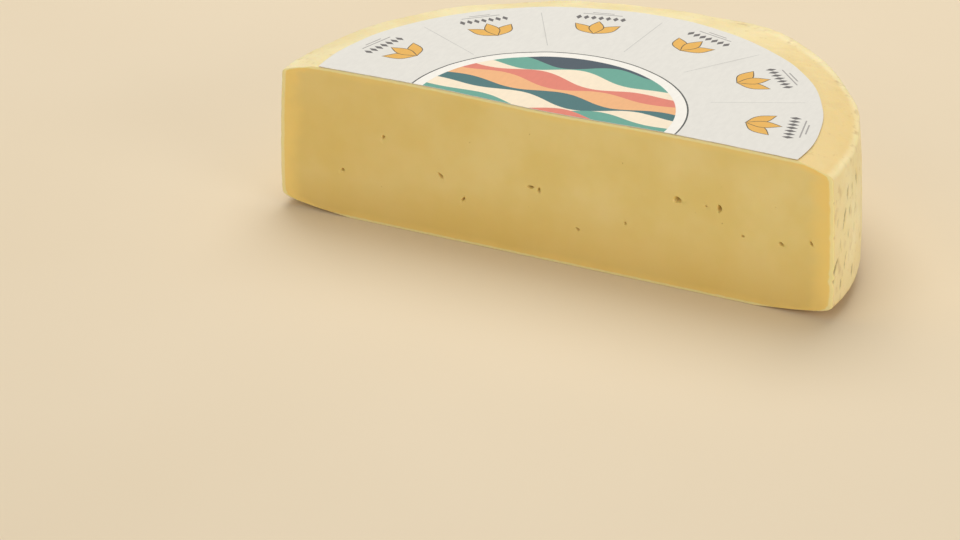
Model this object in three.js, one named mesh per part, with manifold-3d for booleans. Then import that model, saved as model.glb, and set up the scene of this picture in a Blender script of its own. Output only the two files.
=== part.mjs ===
// Half wheel of semi-hard cow's milk cheese, cut straight across a little in front of the wheel's axis,
// with the round paper label that was cut through with it.
// Millimetres, +Z up. The origin is where the wheel's axis meets the flat of the base. The cut faces -Y.
import * as THREE from "three";
import { mergeVertices } from "three/addons/utils/BufferGeometryUtils.js";
import Module from "manifold-3d";

// Wheel
const WHEEL_RADIUS = 160;
const WHEEL_HEIGHT = 86;
const CUT_BEYOND_AXIS = 10;

// Top face: nearly flat, sunk a little at the middle and falling slightly towards the shoulder
const CROWN_RADIUS = 138;
const MIDDLE_SAG = 1.4;
const MIDDLE_SAG_REACH = 45;
const CROWN_FALL = 1;
const CROWN_STEPS = 7;

// Shoulder between top face and side wall: a fall towards the rim, then a crisp turn
const SHOULDER = { slope: 4.3, depth: 3, exponent: 5 };
const CORNER_STEPS = 8;

// A slack stretch of rim by the right end of the cut, which leans in further and falls a little more
const SLACK = { angle: 15, tightness: 5, lean: 1.5, down: 0.4 };

// A fuller stretch behind it, which stands further out and hardly falls from the top face
const FULLNESS = { angle: 68, tightness: 11, out: 4.5, up: 4 };

// Side wall: leans in towards the top, a little barrelled
const SIDE_LEAN = 2.2;
const SIDE_BARREL = 0.8;
const SIDE_STEPS = 8;

// Base: flat where the wheel stands, lifting towards the rim
const BASE_FLAT_RADIUS = 118;
const BASE_RIM = { slope: 4.3, depth: 6.5, exponent: 5 };

// Hand-made unevenness round the rim, as waves in the angle
const SIDE_WAVES = [
  { amplitude: 0.45, cycles: 3, phase: 1.1 },
  { amplitude: 0.3, cycles: 7, phase: 0.4 },
];
const SHOULDER_WAVES = [
  { amplitude: 0.6, cycles: 4, phase: 2.2 },
  { amplitude: 0.45, cycles: 9, phase: 0.9 },
  { amplitude: 0.3, cycles: 17, phase: 3.1 },
];
const SEGMENTS = 132;

// Paper label, stuck on a little to the right of the axis
const LABEL_RADIUS = 136.5;
const LABEL_ASIDE = 1.4;
const LABEL_THICKNESS = 0.4;
const LABEL_GAP = 0.3;

// Eyes in the cut face: place along the cut and above the base, then width, height and tilt in degrees
const EYES = [
  { along: -121, above: 28, wide: 2.8, tall: 2.2, tilt: 20 },
  { along: -96, above: 52, wide: 2.2, tall: 2.8, tilt: -15 },
  { along: -62, above: 36.5, wide: 4.4, tall: 2.4, tilt: 38 },
  { along: -48.5, above: 25.5, wide: 1.8, tall: 3.6, tilt: 25 },
  { along: -9.5, above: 40.5, wide: 5.2, tall: 1.8, tilt: 5 },
  { along: -4.5, above: 39.5, wide: 2.4, tall: 3.2, tilt: 10 },
  { along: 18, above: 22, wide: 2.6, tall: 2.2, tilt: 30 },
  { along: 45, above: 31, wide: 2.2, tall: 1.8, tilt: -10 },
  { along: 73.5, above: 50.2, wide: 4.4, tall: 4.4, tilt: 20 },
  { along: 89.5, above: 50, wide: 1.4, tall: 1.6, tilt: -10 },
  { along: 96.8, above: 50, wide: 2.8, tall: 5, tilt: -15 },
  { along: 110, above: 37.5, wide: 2.2, tall: 1.6, tilt: -12 },
  { along: 131, above: 37.3, wide: 3.2, tall: 2.6, tilt: 10 },
  { along: 147, above: 41, wide: 1.6, tall: 4, tilt: -25 },
];
const EYE_DEPTH_SHARE = 0.6;
const EYE_SEGMENTS = 10;
const EYE_RINGS = 8;

const { lerp, degToRad } = THREE.MathUtils;
const wasm = await Module();
wasm.setup();

function wave(terms, angle) {
  return terms.reduce((sum, t) => sum + t.amplitude * Math.sin(t.cycles * angle + t.phase), 0);
}

// 1 at a stretch's middle, falling to 0 on both sides of it.
function closeness(stretch, angle) {
  return Math.exp(stretch.tightness * (Math.cos(angle - degToRad(stretch.angle)) - 1));
}

function shoulderAt(angle) {
  const down = SLACK.down * closeness(SLACK, angle) - FULLNESS.up * closeness(FULLNESS, angle);
  return { ...SHOULDER, slope: SHOULDER.slope + down + wave(SHOULDER_WAVES, angle) };
}

function crownHeight(radius) {
  const sag = MIDDLE_SAG * Math.exp(-((radius / MIDDLE_SAG_REACH) ** 2));
  return WHEEL_HEIGHT - sag - CROWN_FALL * (radius / CROWN_RADIUS) ** 4;
}

// Share 0 is the foot of the side wall and share 1 its top.
function sideRadius(angle, share) {
  const lean = (SIDE_LEAN + SLACK.lean * closeness(SLACK, angle)) * share;
  const barrel = SIDE_BARREL * 4 * share * (1 - share);
  const fullness = FULLNESS.out * closeness(FULLNESS, angle);
  return WHEEL_RADIUS - lean + barrel + fullness + wave(SIDE_WAVES, angle);
}

// A flat face that slopes away from its inner radius and turns through a superellipse into an upright wall.
// Each point's x is a radius and its y how far the face has dropped.
function cornerPoints(innerRadius, outerRadius, { slope, depth, exponent }) {
  return Array.from({ length: CORNER_STEPS }, (_, i) => {
    const turn = ((i + 1) / CORNER_STEPS) * (Math.PI / 2);
    const out = Math.sin(turn) ** (2 / exponent);
    const down = 1 - Math.cos(turn) ** (2 / exponent);
    return new THREE.Vector2(lerp(innerRadius, outerRadius, out), slope * out + depth * down);
  });
}

// The wheel's outline at one angle, from the middle of the base round the rim to the middle of the top.
function outlineAt(angle) {
  const base = cornerPoints(BASE_FLAT_RADIUS, sideRadius(angle, 0), BASE_RIM);
  const shoulder = cornerPoints(CROWN_RADIUS, sideRadius(angle, 1), shoulderAt(angle));
  const topEdge = crownHeight(CROWN_RADIUS);
  shoulder.forEach((p) => (p.y = topEdge - p.y));
  const foot = base.at(-1).y;
  const head = shoulder.at(-1).y;

  const side = [];
  for (let i = 1; i < SIDE_STEPS; i++) {
    const share = i / SIDE_STEPS;
    side.push(new THREE.Vector2(sideRadius(angle, share), lerp(foot, head, share)));
  }
  const crown = [];
  for (let i = CROWN_STEPS; i >= 0; i--) {
    const radius = (CROWN_RADIUS * i) / CROWN_STEPS;
    crown.push(new THREE.Vector2(radius, crownHeight(radius)));
  }
  const flat = [new THREE.Vector2(0, 0), new THREE.Vector2(BASE_FLAT_RADIUS, 0)];
  return [...flat, ...base, ...side, ...shoulder.reverse(), ...crown];
}

// A lathe whose outline changes with the angle.
function unevenLathe(outline) {
  const geometry = new THREE.LatheGeometry(outline(0), SEGMENTS);
  const position = geometry.getAttribute("position");
  let vertex = 0;
  for (let i = 0; i <= SEGMENTS; i++) {
    const angle = ((i % SEGMENTS) / SEGMENTS) * 2 * Math.PI;
    for (const p of outline(angle)) {
      position.setXYZ(vertex++, p.x * Math.cos(angle), p.x * Math.sin(angle), p.y);
    }
  }
  return geometry;
}

function toSolid(geometry) {
  geometry.deleteAttribute("normal");
  geometry.deleteAttribute("uv");
  const merged = mergeVertices(geometry);
  return new wasm.Manifold(
    new wasm.Mesh({
      numProp: 3,
      vertProperties: merged.getAttribute("position").array,
      triVerts: new Uint32Array(merged.index.array),
    }),
  );
}

function toGeometry(solid) {
  const { vertProperties, triVerts } = solid.getMesh();
  const geometry = new THREE.BufferGeometry();
  geometry.setAttribute("position", new THREE.BufferAttribute(vertProperties, 3));
  geometry.setIndex(new THREE.BufferAttribute(triVerts, 1));
  geometry.computeVertexNormals();
  return geometry;
}

// Everything in front of the cut.
function frontHalf() {
  const size = 4 * WHEEL_RADIUS;
  const box = new THREE.BoxGeometry(size, size, size);
  box.translate(0, -CUT_BEYOND_AXIS - size / 2, 0);
  return toSolid(box);
}

// One eye: an ellipsoid centred on the cut face, so that half of it is a hollow in the paste.
function eyeSolid({ along, above, wide, tall, tilt }) {
  const eye = new THREE.SphereGeometry(0.5, EYE_SEGMENTS, EYE_RINGS);
  eye.scale(wide, 2 * EYE_DEPTH_SHARE * Math.max(wide, tall), tall);
  eye.rotateY(degToRad(tilt));
  eye.translate(along, -CUT_BEYOND_AXIS, above);
  return toSolid(eye);
}

function cheeseGeometry() {
  const half = toSolid(unevenLathe(outlineAt)).subtract(frontHalf());
  return toGeometry(EYES.reduce((paste, eye) => paste.subtract(eyeSolid(eye)), half));
}

// A disc of paper that follows the crown under it, cut off flush with the cheese.
function labelGeometry() {
  const radii = Array.from({ length: CROWN_STEPS + 1 }, (_, i) => (LABEL_RADIUS * i) / CROWN_STEPS);
  const under = radii.map((r) => new THREE.Vector2(r, LABEL_GAP));
  const over = radii.map((r) => new THREE.Vector2(r, LABEL_GAP + LABEL_THICKNESS)).reverse();
  const disc = unevenLathe(() => [...under, ...over]);
  disc.translate(LABEL_ASIDE, 0, 0);
  const position = disc.getAttribute("position");
  for (let i = 0; i < position.count; i++) {
    const radius = Math.hypot(position.getX(i), position.getY(i));
    position.setZ(i, position.getZ(i) + crownHeight(radius));
  }
  return toGeometry(toSolid(disc).subtract(frontHalf()));
}

function namedMesh(name, geometry, material) {
  const mesh = new THREE.Mesh(geometry, new THREE.MeshStandardMaterial(material));
  mesh.name = name;
  return mesh;
}

const halfWheel = new THREE.Group();
halfWheel.add(
  namedMesh("cheese", cheeseGeometry(), { color: 0xe0c388, roughness: 0.55, metalness: 0 }),
  namedMesh("paper_label", labelGeometry(), { color: 0xebe6da, roughness: 0.8, metalness: 0 }),
);

export default halfWheel;
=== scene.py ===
"""Looks of a half wheel of semi-hard cheese and of the paper label on it, built round the CAD frame.

Shapes are worked out in millimetres and become metres when a mesh is made. +Z is up and the cut faces -Y.
"""
import math

import bmesh
import bpy
import numpy as np
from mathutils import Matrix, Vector, noise
from mathutils.geometry import delaunay_2d_cdt


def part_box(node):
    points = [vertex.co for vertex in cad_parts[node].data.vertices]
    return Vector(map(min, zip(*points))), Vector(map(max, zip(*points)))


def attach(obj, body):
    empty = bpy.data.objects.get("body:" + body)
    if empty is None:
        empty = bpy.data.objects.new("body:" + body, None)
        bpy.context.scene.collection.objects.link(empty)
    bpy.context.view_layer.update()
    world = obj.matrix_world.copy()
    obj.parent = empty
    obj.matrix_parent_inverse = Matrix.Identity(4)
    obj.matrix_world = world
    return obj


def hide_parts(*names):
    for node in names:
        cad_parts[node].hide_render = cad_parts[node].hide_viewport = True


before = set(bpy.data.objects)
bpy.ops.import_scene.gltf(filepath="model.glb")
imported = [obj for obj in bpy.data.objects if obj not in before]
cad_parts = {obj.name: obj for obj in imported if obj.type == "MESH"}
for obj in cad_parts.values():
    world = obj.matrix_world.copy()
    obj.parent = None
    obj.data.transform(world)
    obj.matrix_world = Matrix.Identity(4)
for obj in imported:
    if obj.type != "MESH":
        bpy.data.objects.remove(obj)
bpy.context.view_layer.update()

MM = 0.001
SEED = 7

# Noise for shapes: how fast its layers weaken, how much finer each is than the last, and how many it has
NOISE_LAYERS = (1.0, 2.0, 3)

# Wheel, as in the CAD solid
WHEEL_RADIUS = 160.0
WHEEL_HEIGHT = 86.0
CUT_BEYOND_AXIS = -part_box("cheese")[0].y / MM
CROWN_RADIUS = 138.0
MIDDLE_SAG = 1.4
MIDDLE_SAG_REACH = 45.0
CROWN_FALL = 1.0
SHOULDER = {"slope": 4.3, "depth": 3.0, "exponent": 5.0}
SLACK = {"angle": 15.0, "tightness": 5.0, "lean": 1.5, "down": 0.4}
FULLNESS = {"angle": 68.0, "tightness": 11.0, "out": 4.5, "up": 4.0}
SIDE_LEAN = 2.2
SIDE_BARREL = 0.8
BASE_FLAT_RADIUS = 118.0
BASE_RIM = {"slope": 4.3, "depth": 6.5, "exponent": 5.0}
SIDE_WAVES = ((0.45, 3, 1.1), (0.3, 7, 0.4))
SHOULDER_WAVES = ((0.6, 4, 2.2), (0.45, 9, 0.9), (0.3, 17, 3.1))

# How finely the meshes are divided
RIM_COLUMNS = 540
RIM_ROWS = 132
PROFILE_STEPS = 80
CAP_SPACING = 9.0
CUT_LINE_SPACING = 1.6
CUT_FACE_SPACING = 2.4
GRID_JITTER = 0.3
MERGE_WITHIN = 0.001
SHARP_ANGLE = math.radians(48)

# Rounding where the cut meets the rind, and how far the knife left the face from a true plane
CUT_EDGE = 0.6
CUT_EDGE_STEPS = 3
CUT_RIPPLE = 0.22
CUT_RIPPLE_LENGTH = 24.0

# Eyes in the cut face: along the cut, above the base, width, height, tilt in degrees
EYES = (
    (-121, 28, 2.8, 2.2, 20),
    (-96, 52, 2.2, 2.8, -15),
    (-62, 36.5, 4.4, 2.4, 38),
    (-48.5, 25.5, 1.8, 3.6, 25),
    (-9.5, 40.5, 5.2, 1.8, 5),
    (-4.5, 39.5, 2.4, 3.2, 10),
    (18, 22, 2.6, 2.2, 30),
    (45, 31, 2.2, 1.8, -10),
    (73.5, 50.2, 4.4, 4.4, 20),
    (89.5, 50, 1.4, 1.6, -10),
    (96.8, 50, 2.8, 5, -15),
    (110, 37.5, 2.2, 1.6, -12),
    (131, 37.3, 3.2, 2.6, 10),
    (147, 41, 1.6, 4, -25),
)
EYE_DEPTH_SHARE = 0.6
EYE_POINTS = 26
EYE_RINGS = 8
EYE_UNEVENNESS = (0.16, 0.1)
EYE_ROUNDING = 1.3
EYE_LAST_RING = 0.03

# Pinholes between them, within these shares of the wheel's radius and height
PINHOLES = 12
PINHOLE_POINTS = 8
PINHOLE_WIDTH = (0.4, 0.8)
PINHOLE_ALONG = (-0.85, 0.85)
PINHOLE_ABOVE = (0.15, 0.85)

# Marks pressed into the side by the mould: slanted strokes in staggered rows, a seam and a bare plate
STROKE_ROWS = 5
STROKE_ROW_FIRST = 17.0
STROKE_ROW_SPACING = 11.5
STROKE_SPACING = 10.5
STROKE_HALF_LENGTH = 3.6
STROKE_HALF_WIDTH = 1.15
STROKE_SLANT = 14.0
STROKE_DEPTH = 0.95
STROKE_MISSING = 0.16
STROKE_OVERHANG = 12.0
STROKE_MEAN_DEPTH = 0.72
STROKE_TAPER = 0.55
STROKE_WALL = (0.8, -0.9)
STROKE_LIP = 0.14
STROKE_LIP_PLACE = 0.9
MARK_WANDER = 1.1
MARK_WANDER_LENGTH = 5.0
MARK_WANDER_SHIFTS = (0.0, 500.0)
SEAM_ANGLE = 118.0
SEAM_WIDTH = 1.0
SEAM_DEPTH = 0.8
SEAM_FOOT = (8.0, 13.0)
SEAM_HEAD = (WHEEL_HEIGHT - 4, WHEEL_HEIGHT - 10)
PLATE_ANGLES = (62.0, 84.0)
PLATE_HEIGHTS = (20.0, 62.0)
PLATE_LINE = 1.0
PLATE_DEPTH = 0.4
PLATE_MARGIN = 4.0

# How far each stroke strays from those values, at most
STRAY = {"place": 2.0, "length": 0.45, "width": 0.4, "slant": 14.0, "depth": 0.38, "bend": 0.07}

# Roughness of the rind as heights and lengths, and where it and the look of the side set in and are full
RIND_ROUGHNESS = ((0.4, 24.0), (0.13, 5.0))
ROUGH_HEIGHTS = (0.0, 6.0)
ROUGH_RADII = (CROWN_RADIUS, CROWN_RADIUS + 6)
WALL_HEIGHTS = (4.0, 12.0)
WALL_RADII = (CROWN_RADIUS + 14, CROWN_RADIUS + 18)

# Paper label
LABEL_RADIUS = 136.5
LABEL_ASIDE = 1.4
LABEL_UNDER = 0.1
LABEL_THICKNESS = 0.3
LABEL_RIPPLE = 0.12
LABEL_RIPPLE_LENGTH = 18.0
LABEL_FRAY = 0.12
LABEL_EDGE_WAVES = ((0.25, 9, 1.0), (0.15, 23, 0.0))
LABEL_EDGE_LIFT = 0.25
LABEL_EDGE_LIFT_REACH = 5.0
LABEL_EDGE_POINTS = 320
LABEL_EDGE_RINGS = (1.2, 2.6, 4.4)
LABEL_RING_POINTS = 520
LABEL_RING_CLEARANCE = 0.6
LABEL_SPACING = 5.0

# Its print: a ring round a disc of flowing bands, and cells that each hold a leaf sprig and ornament
RING_CENTRE = (-3.6, -8.4)
RING_RADIUS = 74.8
RING_WIDTH = 0.9
ART_RADIUS = 68.5
ART_GROWTH = 0.03
CIRCLE_POINTS = 180
CELL_FIRST = 11.8
CELL_TURN = 30.7
CELL_COUNT = 6
SPRIG_RADIUS = 107.5
LEAF_LENGTH = 18.5
LEAF_WIDTH = 7.4
LEAF_SPREAD = 42.0
LEAF_OUTLINE = 0.55
LEAF_POINTS = 14
LEAF_ROUNDING = 1.3
LEAF_OUTLINE_ROUNDING = 0.4
LOZENGE_RADIUS = 122.0
LOZENGE_COUNT = 7
LOZENGE_SPACING = 4.1
LOZENGE_HALF_SIZE = (1.65, 3.2)
RULE_RADII = (127.4, 129.6)
RULE_HALF_LENGTHS = (11.0, 6.0)
RULE_WIDTH = 0.8
DIVIDER_RADII = (79.0, 128.0)
DIVIDER_WIDTH = 0.45

# Inks, as sRGB
INKS = {
    "paper": (228, 225, 217),
    "ring": (74, 76, 72),
    "white": (246, 242, 233),
    "divider": (198, 196, 190),
    "outline": (84, 72, 52),
    "ochre": (233, 178, 78),
    "grey": (104, 100, 98),
    "pale_grey": (164, 160, 156),
    "navy": (62, 78, 90),
    "teal": (98, 165, 147),
    "deep_teal": (62, 112, 114),
    "coral": (226, 128, 108),
    "orange": (241, 180, 124),
    "cream": (249, 232, 204),
}
ART_BANDS = ("navy", "teal", "cream", "coral", "orange", "deep_teal", "cream", "teal", "coral")
ART_BAND_HEIGHTS = (58.0, 46.0, 38.0, 30.0, 21.0, 13.0, 3.0, -3.0)
ART_BAND_POINTS = 70
ART_ARC_POINTS = 90

# Waves in those bands: height, length of a radian, and how many radians each band is ahead of the last
ART_WAVES = ((5.5, 11.0, 1.9), (3.0, 23.0, 1.0))

# Colours of paste, rind and floor, as sRGB
TONES = {
    "paste": (234, 209, 129),
    "pale_paste": (240, 218, 147),
    # painted shade towards the base, and painted shadow and warm reflection at the left end
    "shaded_paste": (226, 190, 98),
    "band": (249, 216, 127),
    # pale cut rind, with a painted highlight along the cut's edge
    "cut_rind_and_highlight": (250, 236, 175),
    # painted shade in the eyes' hollows
    "hollow": (160, 122, 58),
    "rind": (242, 223, 166),
    "pale_rind": (248, 233, 183),
    # painted shade on the rind's top by the right end
    "right_top_shade": (231, 200, 130),
    "speckle": (206, 172, 110),
    # worn side, with painted shade along the crest
    "worn_and_crest_shade": (194, 160, 106),
    # dirt in the marks, with painted shade in their recesses
    "dirt_and_shade": (126, 104, 60),
    "floor": (228, 210, 179),
    "pale_floor": (232, 215, 186),
}

# How strongly some of them cover what is under them
COVER = {
    # painted shade towards the base, and painted shadow and warm reflection at the left end
    "base_shade": 0.62,
    "left_shadow_and_reflection": 0.32,
    "band_face": 0.6,
    # pale cut rind, with a painted highlight along the cut's edge
    "cut_rind_and_highlight": 0.85,
    # painted shade in the eyes' hollows
    "hollow": 0.45,
    # painted shade on the rind's top by the right end
    "right_top_shade": 0.8,
    "speckle": 0.3,
    # worn side, with painted shade along the crest
    "worn_and_crest_shade": 0.4,
    # dirt in the marks, with painted shade in their recesses
    "dirt_and_shade": 0.85,
}

# Where they set in and are full: in millimetres, or as a share of the mark that they follow
REACH = {
    # painted shade towards the base, and painted shadow and warm reflection at the left end
    "base_shade": (46, 2),
    "left_shadow_and_reflection": (20, -130),
    "band_side": (9, -3),
    "band_face": (4, -1),
    # pale cut rind, with a painted highlight along the cut's edge
    "cut_rind_and_highlight_side": (2.4, 1.2),
    "cut_rind_and_highlight_face": (1.5, 0.4),
    # painted shade in the eyes' hollows
    "hollow": (0.1, 1),
    # painted shade on the rind's top by the right end
    "right_top_shade": (-10, 150),
    # dirt in the marks, with painted shade in their recesses
    "dirt_and_shade": (0.08, 0.8),
    "rind": (0.2, 0.8),
}

# Clouds in colour and gloss: length in millimetres, and where in the noise they set in and are full
CLOUDS = {
    "paste": (38, 0.3, 0.7),
    "rind": (30, 0.32, 0.68),
    "speckle": (3.2, 0.64, 0.74),
    "wisps": (6, 0.52, 0.74),
    # patches of dirt and painted shade in the marks
    "dirt_and_shade": (8, 0.26, 0.52),
    "gloss": (7, -0.6, 1.6),
    "fibre": (2.2, 0.25, 0.75),
    "floor": (400, 0.2, 0.8),
}

# How unevenly the cut rind with its painted highlight and the band under it end, and how much more of the
# worn tone lies along the rind's crest as painted shade
STRIP_WANDER_LENGTH = 5.0
BAND_WANDER = 12.0
BAND_WANDER_LENGTH = 16.0
BAND_FACE_WANDER = 0.3
CREST_SHADE = 4.0

# How far wisps are drawn out upwards on the rind, and fibres across the paper
WISP_STRETCH = (1, 1, 1.5)
FIBRE_STRETCH = (1, 3, 1)

# Fine relief in the materials: the cheese's grain as lengths and detail, and heights
GRAIN = ((1.1, 4), (6, 2))
GRAIN_HEIGHT = 0.07
FIBRE_HEIGHT = 0.004
FIBRE_SHADE = 0.98

# Stage and light in metres: each lamp's name, place, size, power in watts and colour
FLOOR_REACH = 6.0
LIGHTS = (
    ("overhead", (-0.35, 0.75, 1.65), 1.5, 24, (1.0, 0.985, 0.96)),
    ("right_fill", (2.0, -0.7, 0.5), 1.4, 18, (1.0, 0.98, 0.95)),
    ("front_fill", (-0.3, -1.8, 1.1), 1.4, 7.5, (1.0, 0.97, 0.93)),
)
LIGHT_TARGET = (0, 0.05, 0.04)
WORLD_COLOUR = (1.0, 0.99, 0.97, 1)
WORLD_STRENGTH = 0.34

# Camera, at the photograph's viewing angle
CAMERA_TARGET = (10.1, -108.5, 40.0)
CAMERA_DISTANCE = 1582.8
CAMERA_AZIMUTH = 26.35
CAMERA_ELEVATION = 26.19
CAMERA_LENS = 120.0


def smoothstep(low, high, value):
    share = np.clip((value - low) / (high - low), 0, 1)
    return share * share * (3 - 2 * share)


def lerp(low, high, share):
    return low + (high - low) * share


def rough(points, length):
    """Smooth noise of about -1 to 1 at each point, with bumps of that length."""
    flat = points.reshape(-1, 3) / length
    values = [noise.fractal(Vector(p), *NOISE_LAYERS) for p in flat]
    return np.array(values).reshape(points.shape[:-1])


# The wheel's shape

def waves(terms, angle):
    return sum(amplitude * np.sin(cycles * angle + phase) for amplitude, cycles, phase in terms)


def closeness(stretch, angle):
    """1 at a stretch's middle, falling to 0 on both sides of it."""
    return np.exp(stretch["tightness"] * (np.cos(angle - math.radians(stretch["angle"])) - 1))


def crown_height(radius):
    sag = MIDDLE_SAG * np.exp(-((radius / MIDDLE_SAG_REACH) ** 2))
    return WHEEL_HEIGHT - sag - CROWN_FALL * (radius / CROWN_RADIUS) ** 4


def side_radius(angle, share):
    """Share 0 is the foot of the side wall and share 1 its top."""
    lean = (SIDE_LEAN + SLACK["lean"] * closeness(SLACK, angle)) * share
    bulge = SIDE_BARREL * 4 * share * (1 - share) + FULLNESS["out"] * closeness(FULLNESS, angle)
    return WHEEL_RADIUS - lean + bulge + waves(SIDE_WAVES, angle)


def shoulder(angle):
    down = SLACK["down"] * closeness(SLACK, angle) - FULLNESS["up"] * closeness(FULLNESS, angle)
    return {**SHOULDER, "slope": SHOULDER["slope"] + down + waves(SHOULDER_WAVES, angle)}


def corner(inner, outer, form):
    """Radius and drop of a face that slopes away and turns through a superellipse into an upright wall."""
    turn = np.linspace(0, math.pi / 2, PROFILE_STEPS)
    out = np.sin(turn) ** (2 / form["exponent"])
    down = 1 - np.clip(np.cos(turn), 0, 1) ** (2 / form["exponent"])
    return lerp(inner, outer, out), form["slope"] * out + form["depth"] * down


def rim_profile(angle):
    """Radius and height at even steps, from the base's flat round the side to the edge of the crown."""
    base_radius, base_height = corner(BASE_FLAT_RADIUS, side_radius(angle, 0), BASE_RIM)
    top_radius, drop = corner(CROWN_RADIUS, side_radius(angle, 1), shoulder(angle))
    top_height = crown_height(CROWN_RADIUS) - drop
    share = np.linspace(0, 1, PROFILE_STEPS)[1:-1]
    wall_height = lerp(base_height[-1], top_height[-1], share)
    radius = np.concatenate([base_radius, side_radius(angle, share), top_radius[::-1]])
    height = np.concatenate([base_height, wall_height, top_height[::-1]])
    length = np.concatenate([[0], np.cumsum(np.hypot(np.diff(radius), np.diff(height)))])
    wanted = np.linspace(0, length[-1], RIM_ROWS)
    return np.interp(wanted, length, radius), np.interp(wanted, length, height)


# What the mould pressed into the rind

def strokes(rng):
    """Place along the rim and up it, half length and width, slant, depth and bend of every stroke."""
    for row in range(STROKE_ROWS):
        height = STROKE_ROW_FIRST + STROKE_ROW_SPACING * row
        shift = STROKE_SPACING / 2 * (row % 2)
        last = WHEEL_RADIUS * math.pi + STROKE_OVERHANG
        for along in np.arange(shift - STROKE_OVERHANG, last, STROKE_SPACING):
            jitter = rng.uniform(-1, 1, 7)
            if rng.random() > STROKE_MISSING:
                yield {
                    "along": along + STRAY["place"] * jitter[0],
                    "height": height + STRAY["place"] * jitter[1],
                    "half_length": STROKE_HALF_LENGTH * (1 + STRAY["length"] * jitter[2]),
                    "half_width": STROKE_HALF_WIDTH * (1 + STRAY["width"] * jitter[3]),
                    "slant": math.radians(STROKE_SLANT + STRAY["slant"] * jitter[4]),
                    "depth": STROKE_DEPTH * (STROKE_MEAN_DEPTH + STRAY["depth"] * jitter[5]),
                    "bend": STRAY["bend"] * jitter[6],
                }


def stroke_relief(along, height, stroke):
    """Depth of one tapering stroke, with a slight lip where the rind was pushed up round it."""
    right = along - stroke["along"]
    up = height - stroke["height"]
    lengthwise = right * math.sin(stroke["slant"]) + up * math.cos(stroke["slant"])
    across = right * math.cos(stroke["slant"]) - up * math.sin(stroke["slant"])
    across = across + stroke["bend"] * lengthwise ** 2
    past = np.maximum(np.abs(lengthwise) - stroke["half_length"], 0)
    taper = 1 - STROKE_TAPER * np.clip(np.abs(lengthwise) / stroke["half_length"], 0, 1) ** 2
    edge = np.hypot(past, across) - stroke["half_width"] * taper
    lip = STROKE_LIP * np.exp(-((edge - STROKE_LIP_PLACE) ** 2))
    return stroke["depth"] * (lip - smoothstep(*STROKE_WALL, edge))


def in_plate(along, height, margin=0.0):
    """How far inside the bare plate a point lies, negative outside it."""
    left, right = (math.radians(angle) * WHEEL_RADIUS for angle in PLATE_ANGLES)
    sideways = np.minimum(along - left, right - along)
    upright = np.minimum(height - PLATE_HEIGHTS[0], PLATE_HEIGHTS[1] - height)
    return np.minimum(sideways, upright) + margin


def rind_marks(along, height):
    """Height of the mould's marks over the plain rind, in millimetres."""
    relief = np.zeros_like(along)
    reach = STROKE_HALF_LENGTH + STROKE_SPACING / 2
    left_end = WHEEL_RADIUS * math.pi - STROKE_SPACING / 2
    for stroke in strokes(np.random.default_rng(SEED)):
        if in_plate(stroke["along"], stroke["height"], PLATE_MARGIN) > 0 or stroke["along"] > left_end:
            continue
        near = (abs(along - stroke["along"]) < reach) & (abs(height - stroke["height"]) < reach)
        relief[near] += stroke_relief(along[near], height[near], stroke)
    seam = (along - math.radians(SEAM_ANGLE) * WHEEL_RADIUS) / SEAM_WIDTH
    on_wall = smoothstep(*SEAM_FOOT, height) * smoothstep(*SEAM_HEAD, height)
    relief -= SEAM_DEPTH * np.exp(-(seam ** 2)) * on_wall
    relief -= PLATE_DEPTH * np.exp(-((in_plate(along, height) / PLATE_LINE) ** 2))
    return relief


def grid_normals(points):
    """Unit normals of a grid of points, facing away from the wheel's middle."""
    normal = np.cross(np.gradient(points, axis=0), np.gradient(points, axis=1))
    return normal / np.linalg.norm(normal, axis=-1, keepdims=True)


def rim_grid():
    """The rind's rim as a grid of points, from the right end of the cut to the left.

    With it come, for every point, how deep it lies in a mark and how far it belongs to the side.
    """
    plane = CUT_BEYOND_AXIS - CUT_EDGE
    share = np.linspace(0, 1, RIM_COLUMNS)[:, None]
    profiles = [rim_profile(angle) for angle in share[:, 0] * math.pi]
    radius, height = (np.array(values) for values in zip(*profiles))
    start = -np.arcsin(plane / radius[0])
    end = math.pi + np.arcsin(plane / radius[-1])
    angle = lerp(start, end, share)
    points = np.stack([radius * np.cos(angle), radius * np.sin(angle), height], axis=-1)
    astray = [MARK_WANDER * rough(points + shift, MARK_WANDER_LENGTH) for shift in MARK_WANDER_SHIFTS]
    marks = rind_marks(angle * WHEEL_RADIUS + astray[0], height + astray[1])
    relief = marks + sum(depth * rough(points, length) for depth, length in RIND_ROUGHNESS)
    relief *= smoothstep(*ROUGH_HEIGHTS, height) * smoothstep(*ROUGH_RADII, radius)
    points += grid_normals(points) * relief[..., None]
    points[[0, -1], :, 1] = -plane
    wall = smoothstep(*WALL_RADII, radius) * smoothstep(*WALL_HEIGHTS, height)
    return points, np.clip(-marks / STROKE_DEPTH, 0, 1), wall


# Meshes put together from patches

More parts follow.
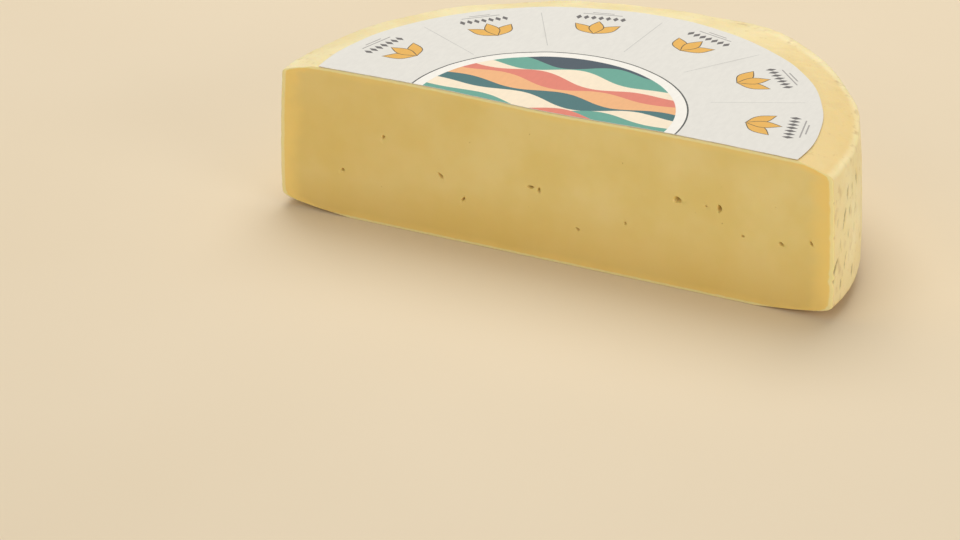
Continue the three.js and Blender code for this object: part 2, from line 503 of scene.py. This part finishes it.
class Patches:
    """Points and faces of one mesh, gathered patch by patch, with a value of each mark at every point."""

    def __init__(self, *marks):
        self.points = []
        self.faces = []
        self.marks = {mark: [] for mark in marks}

    def add(self, points, **marks):
        """Adds points and returns their numbers, in the shape that the points came in."""
        flat = np.asarray(points, float).reshape(-1, 3)
        first = len(self.points)
        self.points.extend(flat)
        for mark, values in self.marks.items():
            values.extend(np.broadcast_to(np.ravel(marks.get(mark, 0.0)), len(flat)))
        return np.arange(first, first + len(flat)).reshape(np.shape(points)[:-1])

    def grid(self, numbers, closed=False):
        """Quads over a grid of point numbers, joined end to end where it is closed."""
        if closed:
            numbers = np.concatenate([numbers, numbers[:1]])
        corners = (numbers[:-1, :-1], numbers[1:, :-1], numbers[1:, 1:], numbers[:-1, 1:])
        self.faces.extend(np.stack([c.ravel() for c in corners], axis=-1).tolist())

    def fill(self, numbers, triangles):
        self.faces.extend(np.asarray(numbers)[np.asarray(triangles)].tolist())

    def piece(self, name):
        """The finished mesh as an object, in metres, with its faces pointing out."""
        mesh = bpy.data.meshes.new(name)
        mesh.from_pydata((np.array(self.points) * MM).tolist(), [], self.faces)
        for mark, values in self.marks.items():
            mesh.attributes.new(mark, "FLOAT", "POINT").data.foreach_set("value", values)
        shaped = bmesh.new()
        shaped.from_mesh(mesh)
        bmesh.ops.recalc_face_normals(shaped, faces=shaped.faces)
        shaped.to_mesh(mesh)
        shaped.free()
        mesh.shade_smooth()
        mesh.set_sharp_from_angle(angle=SHARP_ANGLE)
        piece = bpy.data.objects.new(name, mesh)
        bpy.context.scene.collection.objects.link(piece)
        return piece


def runs_clockwise(outline):
    x, y = outline.T
    return np.sum(x * np.roll(y, -1) - np.roll(x, -1) * y) < 0


def triangulate(outlines, loose):
    """Flat triangles over shapes that may overlap, each with the numbers of the shapes that it lies in."""
    flat = np.concatenate([*outlines, loose])
    starts = np.cumsum([0] + [len(outline) for outline in outlines])
    shapes = [list(range(a, b)) for a, b in zip(starts, starts[1:])]
    shapes = [s[::-1] if runs_clockwise(o) else s for s, o in zip(shapes, outlines)]
    points, _, triangles, sources, _, inside = delaunay_2d_cdt(
        [Vector(p) for p in flat], [], shapes, 1, MERGE_WITHIN
    )
    return np.array([tuple(p) for p in points]), triangles, sources, inside


def fill_outline(outlines, loose):
    """Triangles inside the first outline and outside the others, numbered as the points were given."""
    _, triangles, sources, inside = triangulate(outlines, loose)
    number = [source[0] for source in sources]
    return [[number[v] for v in t] for t, shapes in zip(triangles, inside) if list(shapes) == [0]]


def jittered_grid(low, high, spacing, rng):
    across = np.arange(low[0], high[0], spacing)
    up = np.arange(low[1], high[1], spacing)
    points = np.stack(np.meshgrid(across, up), axis=-1).reshape(-1, 2)
    return points + rng.uniform(-GRID_JITTER, GRID_JITTER, points.shape) * spacing


# The cheese

def spread(start, end, spacing):
    """Evenly spread values between two ends, without the ends."""
    count = max(2, round(abs(end - start) / spacing))
    return np.linspace(start, end, count + 1)[1:-1]


def eye_outline(wide, tall, tilt, count, rng):
    """An uneven oval round its own centre, as points in the plane of the cut."""
    turn = np.linspace(0, 2 * math.pi, count, endpoint=False)
    phases = rng.uniform(0, 2 * math.pi, 2)
    oval, threefold = EYE_UNEVENNESS
    uneven = 1 + oval * np.sin(2 * turn + phases[0]) + threefold * np.sin(3 * turn + phases[1])
    x = wide / 2 * uneven * np.cos(turn)
    z = tall / 2 * uneven * np.sin(turn)
    lean = math.radians(tilt)
    return np.stack([x * math.cos(lean) + z * math.sin(lean), z * math.cos(lean) - x * math.sin(lean)], -1)


def pinholes(rng):
    """Small round eyes scattered over the cut face, clear of its edges."""
    for _ in range(PINHOLES):
        along = rng.uniform(*PINHOLE_ALONG) * WHEEL_RADIUS
        above = rng.uniform(*PINHOLE_ABOVE) * WHEEL_HEIGHT
        width = rng.uniform(*PINHOLE_WIDTH)
        clear = all(math.hypot(along - e[0], above - e[1]) > e[2] + e[3] for e in EYES)
        if clear:
            yield along, above, width, width, 0


def cut_surface(flat):
    """Points of the cut face from their places along and above, with the knife's slight ripple."""
    points = np.stack([flat[:, 0], np.full(len(flat), -CUT_BEYOND_AXIS), flat[:, 1]], axis=-1)
    points[:, 1] += CUT_RIPPLE * rough(points, CUT_RIPPLE_LENGTH)
    return points


def inset(loop, distance):
    """A closed loop of flat points moved towards its inside, which lies to its left."""
    along = np.roll(loop, -2, axis=0) - np.roll(loop, 2, axis=0)
    along /= np.linalg.norm(along, axis=1, keepdims=True)
    return loop + distance * np.stack([-along[:, 1], along[:, 0]], axis=-1)


def rind_loop(patches, rim):
    """Adds the cap edges along the cut. Returns the numbers round the cut's outline, and both cap edges."""
    plane = -(CUT_BEYOND_AXIS - CUT_EDGE)
    points = np.array(patches.points)
    top_x = spread(points[rim[0, -1], 0], points[rim[-1, -1], 0], CUT_LINE_SPACING)
    base_x = spread(points[rim[-1, 0], 0], points[rim[0, 0], 0], CUT_LINE_SPACING)
    top_z = crown_height(np.hypot(top_x, plane))
    top = patches.add(np.stack([top_x, np.full_like(top_x, plane), top_z], -1), rind=1)
    base = patches.add(np.stack([base_x, np.full_like(base_x, plane), np.zeros_like(base_x)], -1), rind=1)
    return np.concatenate([rim[0], top, rim[-1, ::-1], base]), top, base


def add_cap(patches, edge, height, rng):
    """Closes the wheel's top or base inside a loop of points that is already there."""
    flat = np.array(patches.points)[edge][:, :2]
    low, high = flat.min(0) + CAP_SPACING, flat.max(0) - CAP_SPACING / 2
    loose = jittered_grid(low, high, CAP_SPACING, rng)
    loose = loose[np.hypot(*loose.T) < np.hypot(*flat.T).max() - CAP_SPACING / 2]
    z = height(np.hypot(*loose.T))
    numbers = patches.add(np.column_stack([loose, z]), rind=1)
    patches.fill(np.concatenate([edge, numbers]), fill_outline([flat], loose))


def cut_marks(points, right, left):
    """How deep under the rind each point of the cut lies, from the nearer side and from top or base."""
    x, z = points[:, 0], points[:, 2]
    to_right = np.interp(z, right[:, 2], right[:, 0]) - x
    to_left = x - np.interp(z, left[:, 2], left[:, 0])
    to_top = crown_height(np.hypot(x, CUT_BEYOND_AXIS)) - z
    return {"from_side": np.minimum(to_right, to_left), "from_face": np.minimum(to_top, z)}


def add_cut_edge(patches, outline, right, left):
    """The rounded edge of the cut. Returns its inner ring, as flat points and as numbers."""
    flat = np.array(patches.points)[outline][:, [0, 2]]
    rings = [outline]
    for turn in np.linspace(0, math.pi / 2, CUT_EDGE_STEPS + 1)[1:]:
        ring = inset(flat, CUT_EDGE * (1 - math.cos(turn)))
        ring_points = np.stack([ring[:, 0], np.full(len(ring), -CUT_BEYOND_AXIS), ring[:, 1]], axis=-1)
        ring_points[:, 1] += CUT_EDGE * (1 - math.sin(turn))
        share = 1 - turn / (math.pi / 2)
        rings.append(patches.add(ring_points, rind=share, **cut_marks(ring_points, right, left)))
    patches.grid(np.stack(rings, axis=-1), closed=True)
    return ring, rings[-1]


def add_cut_face(patches, outline, right, left, rng):
    """The rounded edge of the cut, the face itself and the eyes in it."""
    edge, edge_numbers = add_cut_edge(patches, outline, right, left)
    holes = []
    for along, above, wide, tall, tilt in [*EYES, *pinholes(rng)]:
        count = EYE_POINTS if wide > PINHOLE_WIDTH[1] else PINHOLE_POINTS
        holes.append((eye_outline(wide, tall, tilt, count, rng), np.array([along, above])))
    outlines = [edge, *(shape + centre for shape, centre in holes)]
    loose = jittered_grid((-WHEEL_RADIUS, 0), (WHEEL_RADIUS, WHEEL_HEIGHT), CUT_FACE_SPACING, rng)
    depth = cut_marks(np.insert(loose, 1, 0, axis=1), right, left)
    clear = np.minimum(depth["from_side"], depth["from_face"]) > CUT_EDGE + CUT_FACE_SPACING
    for shape, centre in holes:
        clear &= np.hypot(*(loose - centre).T) > np.hypot(*shape.T).max() + CUT_FACE_SPACING / 2
    loose = loose[clear]

    numbers = [edge_numbers]
    for shape, centre in holes:
        numbers.append(add_eye(patches, shape, centre, right, left))
    surface = cut_surface(loose)
    numbers.append(patches.add(surface, **cut_marks(surface, right, left)))
    patches.fill(np.concatenate(numbers), fill_outline(outlines, loose))


def add_eye(patches, shape, centre, right, left):
    """A hollow with a soft rim behind an outline in the cut face. Returns the outline's numbers."""
    depth = EYE_DEPTH_SHARE * np.ptp(shape, axis=0).max()
    rings = []
    for share in np.linspace(1, EYE_LAST_RING, EYE_RINGS + 1):
        ring = cut_surface(shape * share + centre)
        hollow = math.cos(share * math.pi / 2) ** EYE_ROUNDING
        ring[:, 1] += depth * hollow
        # The hollow mark later sets the painted shade inside the eye
        rings.append(patches.add(ring, hollow=hollow, **cut_marks(ring, right, left)))
    patches.grid(np.stack(rings, axis=-1), closed=True)
    patches.faces.append(rings[-1].tolist())
    return rings[0]


def make_cheese():
    rng = np.random.default_rng(SEED)
    patches = Patches("rind", "recess", "wall", "hollow", "from_side", "from_face")
    points, recess, wall = rim_grid()
    rim = patches.add(points, rind=1, recess=recess, wall=wall)
    patches.grid(rim)
    outline, top, base = rind_loop(patches, rim)
    add_cap(patches, np.concatenate([rim[:, -1], top[::-1]]), crown_height, rng)
    add_cap(patches, np.concatenate([rim[:, 0], base]), np.zeros_like, rng)
    add_cut_face(patches, outline, points[0], points[-1], rng)
    return patches.piece("half_wheel")


# The label's print

def polar(angle, radius, aside=0.0):
    """A point of the label at an angle in degrees and a radius, moved aside along the tangent."""
    turn = math.radians(angle)
    x = radius * math.cos(turn) - aside * math.sin(turn)
    y = radius * math.sin(turn) + aside * math.cos(turn)
    return LABEL_ASIDE + x, y


def circle(centre, radius, count=CIRCLE_POINTS):
    turn = np.linspace(0, 2 * math.pi, count, endpoint=False)
    return np.stack([centre[0] + radius * np.cos(turn), centre[1] + radius * np.sin(turn)], axis=-1)


def bar(angle, radii, asides):
    """A straight bar between two radii and two distances aside."""
    corners = ((0, 0), (1, 0), (1, 1), (0, 1))
    return np.array([polar(angle, radii[i], asides[j]) for i, j in corners])


def leaf(angle, lean, grown):
    """A pointed leaf that grows outwards from the foot of its sprig, leaning aside."""
    share = np.linspace(0, 1, LEAF_POINTS)
    swell = np.sin(math.pi * share)
    half_width = (LEAF_WIDTH / 2) * swell ** LEAF_ROUNDING + grown * swell ** LEAF_OUTLINE_ROUNDING
    along = share * (LEAF_LENGTH + 2 * grown) - grown
    sides = np.concatenate([
        np.stack([along, half_width], -1),
        np.stack([along, -half_width], -1)[-2:0:-1],
    ])
    turn = math.radians(lean)
    outward = sides[:, 0] * math.cos(turn) - sides[:, 1] * math.sin(turn)
    aside = sides[:, 0] * math.sin(turn) + sides[:, 1] * math.cos(turn)
    foot = SPRIG_RADIUS - LEAF_LENGTH / 2
    return np.array([polar(angle, foot + o, a) for o, a in zip(outward, aside)])


def lozenge(angle, aside):
    half_width, half_height = LOZENGE_HALF_SIZE
    corners = ((0, half_height), (-half_width, 0), (0, -half_height), (half_width, 0))
    return np.array([polar(angle, LOZENGE_RADIUS + up, aside + across) for across, up in corners])


def cell_shapes(angle):
    for lean in (-LEAF_SPREAD, LEAF_SPREAD, 0):
        yield "outline", leaf(angle, lean, LEAF_OUTLINE)
        yield "ochre", leaf(angle, lean, 0)
    for i in range(LOZENGE_COUNT):
        yield "grey", lozenge(angle, (i - (LOZENGE_COUNT - 1) / 2) * LOZENGE_SPACING)
    for radius, half_length in zip(RULE_RADII, RULE_HALF_LENGTHS):
        yield "pale_grey", bar(angle, (radius, radius + RULE_WIDTH), (-half_length, half_length))


def art_shapes():
    """Bands that flow across a disc, each laid over the one behind it and grown a little past its edge."""
    yield ART_BANDS[0], circle(RING_CENTRE, ART_RADIUS)
    for number, (ink, height) in enumerate(zip(ART_BANDS[1:], ART_BAND_HEIGHTS)):
        radius = ART_RADIUS + ART_GROWTH * (number + 1)
        half_chord = math.sqrt(radius ** 2 - height ** 2)
        x = np.linspace(half_chord, -half_chord, ART_BAND_POINTS)
        swell = np.sin(math.pi * (x / half_chord + 1) / 2)
        ripples = (tall * np.sin(x / length + ahead * number) for tall, length, ahead in ART_WAVES)
        y = height + swell * sum(ripples)
        low = math.asin(height / radius)
        arc = np.linspace(-math.pi - low, low, ART_ARC_POINTS)[1:-1]
        below = np.stack([radius * np.cos(arc), radius * np.sin(arc)], -1)
        yield ink, np.concatenate([np.stack([x, y], -1), below]) + RING_CENTRE


def print_shapes():
    """Every printed shape with its ink, the later ones over the earlier ones."""
    for i in range(1, CELL_COUNT):
        angle = CELL_FIRST + CELL_TURN * (i - 0.5)
        yield "divider", bar(angle, DIVIDER_RADII, (-DIVIDER_WIDTH / 2, DIVIDER_WIDTH / 2))
    for i in range(CELL_COUNT):
        yield from cell_shapes(CELL_FIRST + CELL_TURN * i)
    yield "ring", circle(RING_CENTRE, RING_RADIUS + RING_WIDTH / 2)
    yield "white", circle(RING_CENTRE, RING_RADIUS - RING_WIDTH / 2)
    yield from art_shapes()


# The label

def label_outline(rng):
    """The half disc of paper, its cut edge a little frayed by the knife."""
    reach = math.asin(CUT_BEYOND_AXIS / LABEL_RADIUS)
    turn = np.linspace(-reach, math.pi + reach, LABEL_EDGE_POINTS)
    radius = LABEL_RADIUS + waves(LABEL_EDGE_WAVES, turn)
    arc = np.stack([LABEL_ASIDE + radius * np.cos(turn), radius * np.sin(turn)], -1)
    arc[[0, -1], 1] = -CUT_BEYOND_AXIS
    x = spread(arc[-1, 0], arc[0, 0], CUT_LINE_SPACING)
    y = -CUT_BEYOND_AXIS + np.abs(rng.normal(0, LABEL_FRAY, len(x)))
    return np.concatenate([arc, np.stack([x, y], -1)])


def label_height(flat):
    """Height of the paper's upper side, rippled and lifting a little at its round edge."""
    from_axis = np.hypot(flat[:, 0], flat[:, 1])
    to_edge = LABEL_RADIUS - np.hypot(flat[:, 0] - LABEL_ASIDE, flat[:, 1])
    ripple = LABEL_RIPPLE * (1 + rough(np.insert(flat, 2, 0, axis=1), LABEL_RIPPLE_LENGTH))
    lift = LABEL_EDGE_LIFT * smoothstep(LABEL_EDGE_LIFT_REACH, 0, to_edge)
    return crown_height(from_axis) + LABEL_UNDER + LABEL_THICKNESS + ripple + lift


def label_fields(rng):
    """The label as seen from above: its points, its triangles and the ink of each triangle."""
    inks, outlines = zip(("paper", label_outline(rng)), *print_shapes())
    low, high = outlines[0].min(0), outlines[0].max(0)
    loose = jittered_grid(low, high, LABEL_SPACING, rng)
    from_middle = np.hypot(loose[:, 0] - LABEL_ASIDE, loose[:, 1])
    loose = loose[from_middle < LABEL_RADIUS - LABEL_EDGE_RINGS[-1] - LABEL_SPACING / 2]
    for inwards in LABEL_EDGE_RINGS:
        ring = circle((LABEL_ASIDE, 0), LABEL_RADIUS - inwards, LABEL_RING_POINTS)
        loose = np.concatenate([loose, ring[ring[:, 1] > -CUT_BEYOND_AXIS + LABEL_RING_CLEARANCE]])
    flat, triangles, _, inside = triangulate(outlines, loose)
    kept = [(t, inks[max(shapes)]) for t, shapes in zip(triangles, inside) if 0 in shapes]
    used, faces = np.unique(np.array([t for t, _ in kept]), return_inverse=True)
    return flat[used], faces.reshape(-1, 3), [ink for _, ink in kept]


def make_label():
    """A thin sheet with its print as fields of colour in the mesh."""
    flat, faces, inks = label_fields(np.random.default_rng(SEED))
    patches = Patches()
    height = label_height(flat)
    upper = patches.add(np.column_stack([flat, height]))
    lower = patches.add(np.column_stack([flat, height - LABEL_THICKNESS]))
    patches.fill(upper, faces)
    patches.fill(lower, faces[:, ::-1])
    edges = np.concatenate([faces[:, [0, 1]], faces[:, [1, 2]], faces[:, [2, 0]]])
    there = {tuple(edge) for edge in edges.tolist()}
    rim = [edge for edge in there if edge[::-1] not in there]
    patches.faces.extend([upper[a], lower[a], lower[b], upper[b]] for a, b in sorted(rim))
    label = patches.piece("printed_label")

    names = list(INKS)
    for name in names:
        label.data.materials.append(paper_material(name, INKS[name]))
    numbers = np.zeros(len(label.data.polygons), np.int32)
    numbers[: len(inks)] = [names.index(ink) for ink in inks]
    label.data.polygons.foreach_set("material_index", numbers)
    return label


# Materials

def srgb(red, green, blue):
    """A colour given as sRGB from 0 to 255, as linear values with alpha."""
    channels = np.array([red, green, blue]) / 255
    linear = np.where(channels < 0.04045, channels / 12.92, ((channels + 0.055) / 1.055) ** 2.4)
    return (*linear.tolist(), 1.0)


def tone(name):
    return srgb(*TONES[name])


class Shader:
    """A node material, with short ways to make the nodes that these materials use."""

    def __init__(self, name):
        self.material = bpy.data.materials.new(name)
        self.material.use_nodes = True
        self.tree = self.material.node_tree
        self.surface = self.tree.nodes["Principled BSDF"]

    def node(self, kind, inputs, **settings):
        made = self.tree.nodes.new(kind)
        for setting, value in settings.items():
            setattr(made, setting, value)
        for key, value in inputs.items():
            self.put(made.inputs[key], value)
        return made

    def put(self, socket, value):
        if isinstance(value, bpy.types.NodeSocket):
            self.tree.links.new(value, socket)
        else:
            socket.default_value = value

    def set(self, **inputs):
        for key, value in inputs.items():
            self.put(self.surface.inputs[key.replace("_", " ")], value)

    def mark(self, name):
        return self.node("ShaderNodeAttribute", {}, attribute_name=name).outputs["Fac"]

    def place(self):
        return self.node("ShaderNodeTexCoord", {}).outputs["Object"]

    def along(self, axis):
        """Millimetres along one axis of the wheel."""
        place = self.node("ShaderNodeSeparateXYZ", {"Vector": self.place()}).outputs[axis]
        return self.math("DIVIDE", place, MM)

    def noise(self, length, detail=3.0, stretch=(1, 1, 1)):
        """Noise from 0 to 1 with bumps of that length in millimetres, drawn out where stretch is over 1."""
        scale = [1 / s for s in stretch]
        place = self.node("ShaderNodeMapping", {"Vector": self.place(), "Scale": scale}).outputs[0]
        texture = {"Vector": place, "Scale": 1 / (length * MM), "Detail": detail}
        return self.node("ShaderNodeTexNoise", texture).outputs["Fac"]

    def step(self, value, low, high):
        """0 below low, 1 above high and smooth between them, or the other way where low is the larger."""
        inputs = {"Value": value, "From Min": low, "From Max": high}
        return self.node("ShaderNodeMapRange", inputs, interpolation_type="SMOOTHSTEP").outputs[0]

    def cloud(self, name, **form):
        """From 0 to 1 in soft patches, sized and spread as CLOUDS says."""
        length, low, high = CLOUDS[name]
        return self.step(self.noise(length, **form), low, high)

    def reach(self, name, value):
        """0 to 1 between the two ends that REACH gives."""
        return self.step(value, *REACH[name])

    def math(self, operation, first, second):
        return self.node("ShaderNodeMath", {0: first, 1: second}, operation=operation).outputs[0]

    def times(self, first, second):
        return self.math("MULTIPLY", first, second)

    def mix(self, share, first, second):
        inputs = {"Factor": share, 6: first, 7: second}
        return self.node("ShaderNodeMix", inputs, data_type="RGBA").outputs[2]

    def cover(self, name, share, colour):
        """A colour with a named tone laid over it, as strongly as that tone covers."""
        return self.mix(self.times(share, COVER[name]), colour, tone(name))

    def bump(self, height, distance):
        inputs = {"Height": height, "Distance": distance * MM, "Strength": 1.0}
        return self.node("ShaderNodeBump", inputs).outputs[0]


def cut_rind_and_highlight(shader):
    """1 where the knife went through the rind, painted pale as a highlight along the cut's edge: along the
    ends of the cut, and thinly along base and top.
    """
    wander = shader.noise(STRIP_WANDER_LENGTH)
    from_side = shader.math("SUBTRACT", shader.mark("from_side"), wander)
    from_face = shader.math("SUBTRACT", shader.mark("from_face"), wander)
    side = shader.reach("cut_rind_and_highlight_side", from_side)
    return shader.math("MAXIMUM", side, shader.reach("cut_rind_and_highlight_face", from_face))


def shaded_paste(shader):
    """How much painted shade the paste gets towards the base, and painted shadow with a warm reflection
    towards the left end of the cut.
    """
    base = shader.times(shader.reach("base_shade", shader.along("Z")), COVER["base_shade"])
    left = shader.times(shader.reach("left_shadow_and_reflection", shader.along("X")), COVER["left_shadow_and_reflection"])
    return shader.math("MAXIMUM", base, left)


def band(shader):
    """The more orange band under the rind, wide at the ends of the cut and thin along base and top."""
    wander = shader.times(shader.noise(BAND_WANDER_LENGTH), BAND_WANDER)
    from_side = shader.math("SUBTRACT", shader.mark("from_side"), wander)
    from_face = shader.math("SUBTRACT", shader.mark("from_face"), shader.times(wander, BAND_FACE_WANDER))
    face = shader.times(shader.reach("band_face", from_face), COVER["band_face"])
    return shader.math("MAXIMUM", shader.reach("band_side", from_side), face)


def paste_colour(shader):
    """The cut paste, pale and clouded, with painted shade towards its base and in its hollows, painted
    shadow and warm reflection at its left end, and a painted highlight along its rind.
    """
    colour = shader.mix(shader.cloud("paste"), tone("paste"), tone("pale_paste"))
    # Painted shade towards the base, and painted shadow and warm reflection at the left end of the cut
    colour = shader.mix(shaded_paste(shader), colour, tone("shaded_paste"))
    colour = shader.mix(band(shader), colour, tone("band"))
    # Pale cut rind, which also serves as a painted highlight along the cut's edge
    colour = shader.cover("cut_rind_and_highlight", cut_rind_and_highlight(shader), colour)
    # Painted shade in the eyes' hollows
    return shader.cover("hollow", shader.reach("hollow", shader.mark("hollow")), colour)


def rind_colour(shader):
    """The rind: pale straw, with painted shade on top by the right end, worn with painted shade along its
    crest, and dirty with painted shade in its marks.
    """
    colour = shader.mix(shader.cloud("rind", detail=4), tone("rind"), tone("pale_rind"))
    wall = shader.mark("wall")
    on_top = shader.math("SUBTRACT", 1, wall)
    # Painted shade on the rind's top towards the right end
    right_end = shader.reach("right_top_shade", shader.along("X"))
    colour = shader.cover("right_top_shade", shader.times(right_end, on_top), colour)
    colour = shader.cover("speckle", shader.cloud("speckle", detail=2), colour)
    # Worn tone on the side, with more of it along the crest as painted shade
    wear_and_crest_shade = shader.math("ADD", wall, shader.times(shader.times(wall, on_top), CREST_SHADE))
    wisps = shader.cloud("wisps", detail=4, stretch=WISP_STRETCH)
    colour = shader.cover("worn_and_crest_shade", shader.times(wisps, wear_and_crest_shade), colour)
    # Dirt in the marks, which also stands in as painted shade in their recesses
    dirt_and_shade = shader.times(shader.reach("dirt_and_shade", shader.mark("recess")), shader.cloud("dirt_and_shade"))
    return shader.cover("dirt_and_shade", dirt_and_shade, colour)


def cheese_material():
    shader = Shader("cheese")
    rind = shader.reach("rind", shader.mark("rind"))
    fine, coarse = (shader.noise(length, detail) for length, detail in GRAIN)
    shader.set(
        Base_Color=shader.mix(rind, paste_colour(shader), rind_colour(shader)),
        Roughness=shader.cloud("gloss"),
        IOR=1.42,
        Subsurface_Weight=0.25,
        Subsurface_Radius=(1.0, 0.62, 0.28),
        Subsurface_Scale=0.003,
        Normal=shader.bump(shader.math("ADD", fine, coarse), GRAIN_HEIGHT),
    )
    return shader.material


def paper_material(name, ink):
    """Printed paper in one ink, with a faint tooth."""
    shader = Shader("label_" + name)
    fibre = shader.cloud("fibre", detail=5, stretch=FIBRE_STRETCH)
    darker = tuple(channel * FIBRE_SHADE for channel in ink)
    shader.set(
        Base_Color=shader.mix(fibre, srgb(*darker), srgb(*ink)),
        Roughness=0.62,
        Normal=shader.bump(fibre, FIBRE_HEIGHT),
    )
    return shader.material


def floor_material():
    shader = Shader("pale_floor")
    colour = shader.mix(shader.cloud("floor"), tone("floor"), tone("pale_floor"))
    shader.set(Base_Color=colour, Roughness=0.7)
    return shader.material


# Stage, light and camera

def make_floor():
    mesh = bpy.data.meshes.new("floor")
    corners = [(x * FLOOR_REACH, y * FLOOR_REACH, 0) for x, y in ((-1, -1), (1, -1), (1, 1), (-1, 1))]
    mesh.from_pydata(corners, [], [(0, 1, 2, 3)])
    mesh.materials.append(floor_material())
    floor = bpy.data.objects.new("floor", mesh)
    bpy.context.scene.collection.objects.link(floor)


def aim(thing, place, target):
    thing.location = place
    thing.rotation_euler = (Vector(target) - Vector(place)).to_track_quat("-Z", "Y").to_euler()


def make_light(name, place, size, power, colour):
    light = bpy.data.lights.new(name, "AREA")
    light.size = size
    light.energy = power
    light.color = colour
    holder = bpy.data.objects.new(name, light)
    bpy.context.scene.collection.objects.link(holder)
    aim(holder, place, LIGHT_TARGET)


def make_lights():
    for light in LIGHTS:
        make_light(*light)
    world = bpy.data.worlds.new("studio")
    world.use_nodes = True
    background = world.node_tree.nodes["Background"].inputs
    background["Color"].default_value = WORLD_COLOUR
    background["Strength"].default_value = WORLD_STRENGTH
    bpy.context.scene.world = world
    bpy.context.scene.view_settings.view_transform = "Standard"


def make_camera():
    azimuth = math.radians(CAMERA_AZIMUTH)
    elevation = math.radians(CAMERA_ELEVATION)
    towards = Vector((
        math.sin(azimuth) * math.cos(elevation),
        -math.cos(azimuth) * math.cos(elevation),
        math.sin(elevation),
    ))
    target = Vector(CAMERA_TARGET) * MM
    data = bpy.data.cameras.new("camera")
    data.lens = CAMERA_LENS
    camera = bpy.data.objects.new("camera", data)
    bpy.context.scene.collection.objects.link(camera)
    aim(camera, target + towards * CAMERA_DISTANCE * MM, target)
    bpy.context.scene.camera = camera


def main():
    make_camera()
    make_floor()
    make_lights()
    cheese = make_cheese()
    cheese.data.materials.append(cheese_material())
    label = make_label()
    for piece, node, slot in ((cheese, "cheese", "cheese"), (label, "paper_label", "label_paper")):
        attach(piece, "root")
        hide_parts(node)


main()
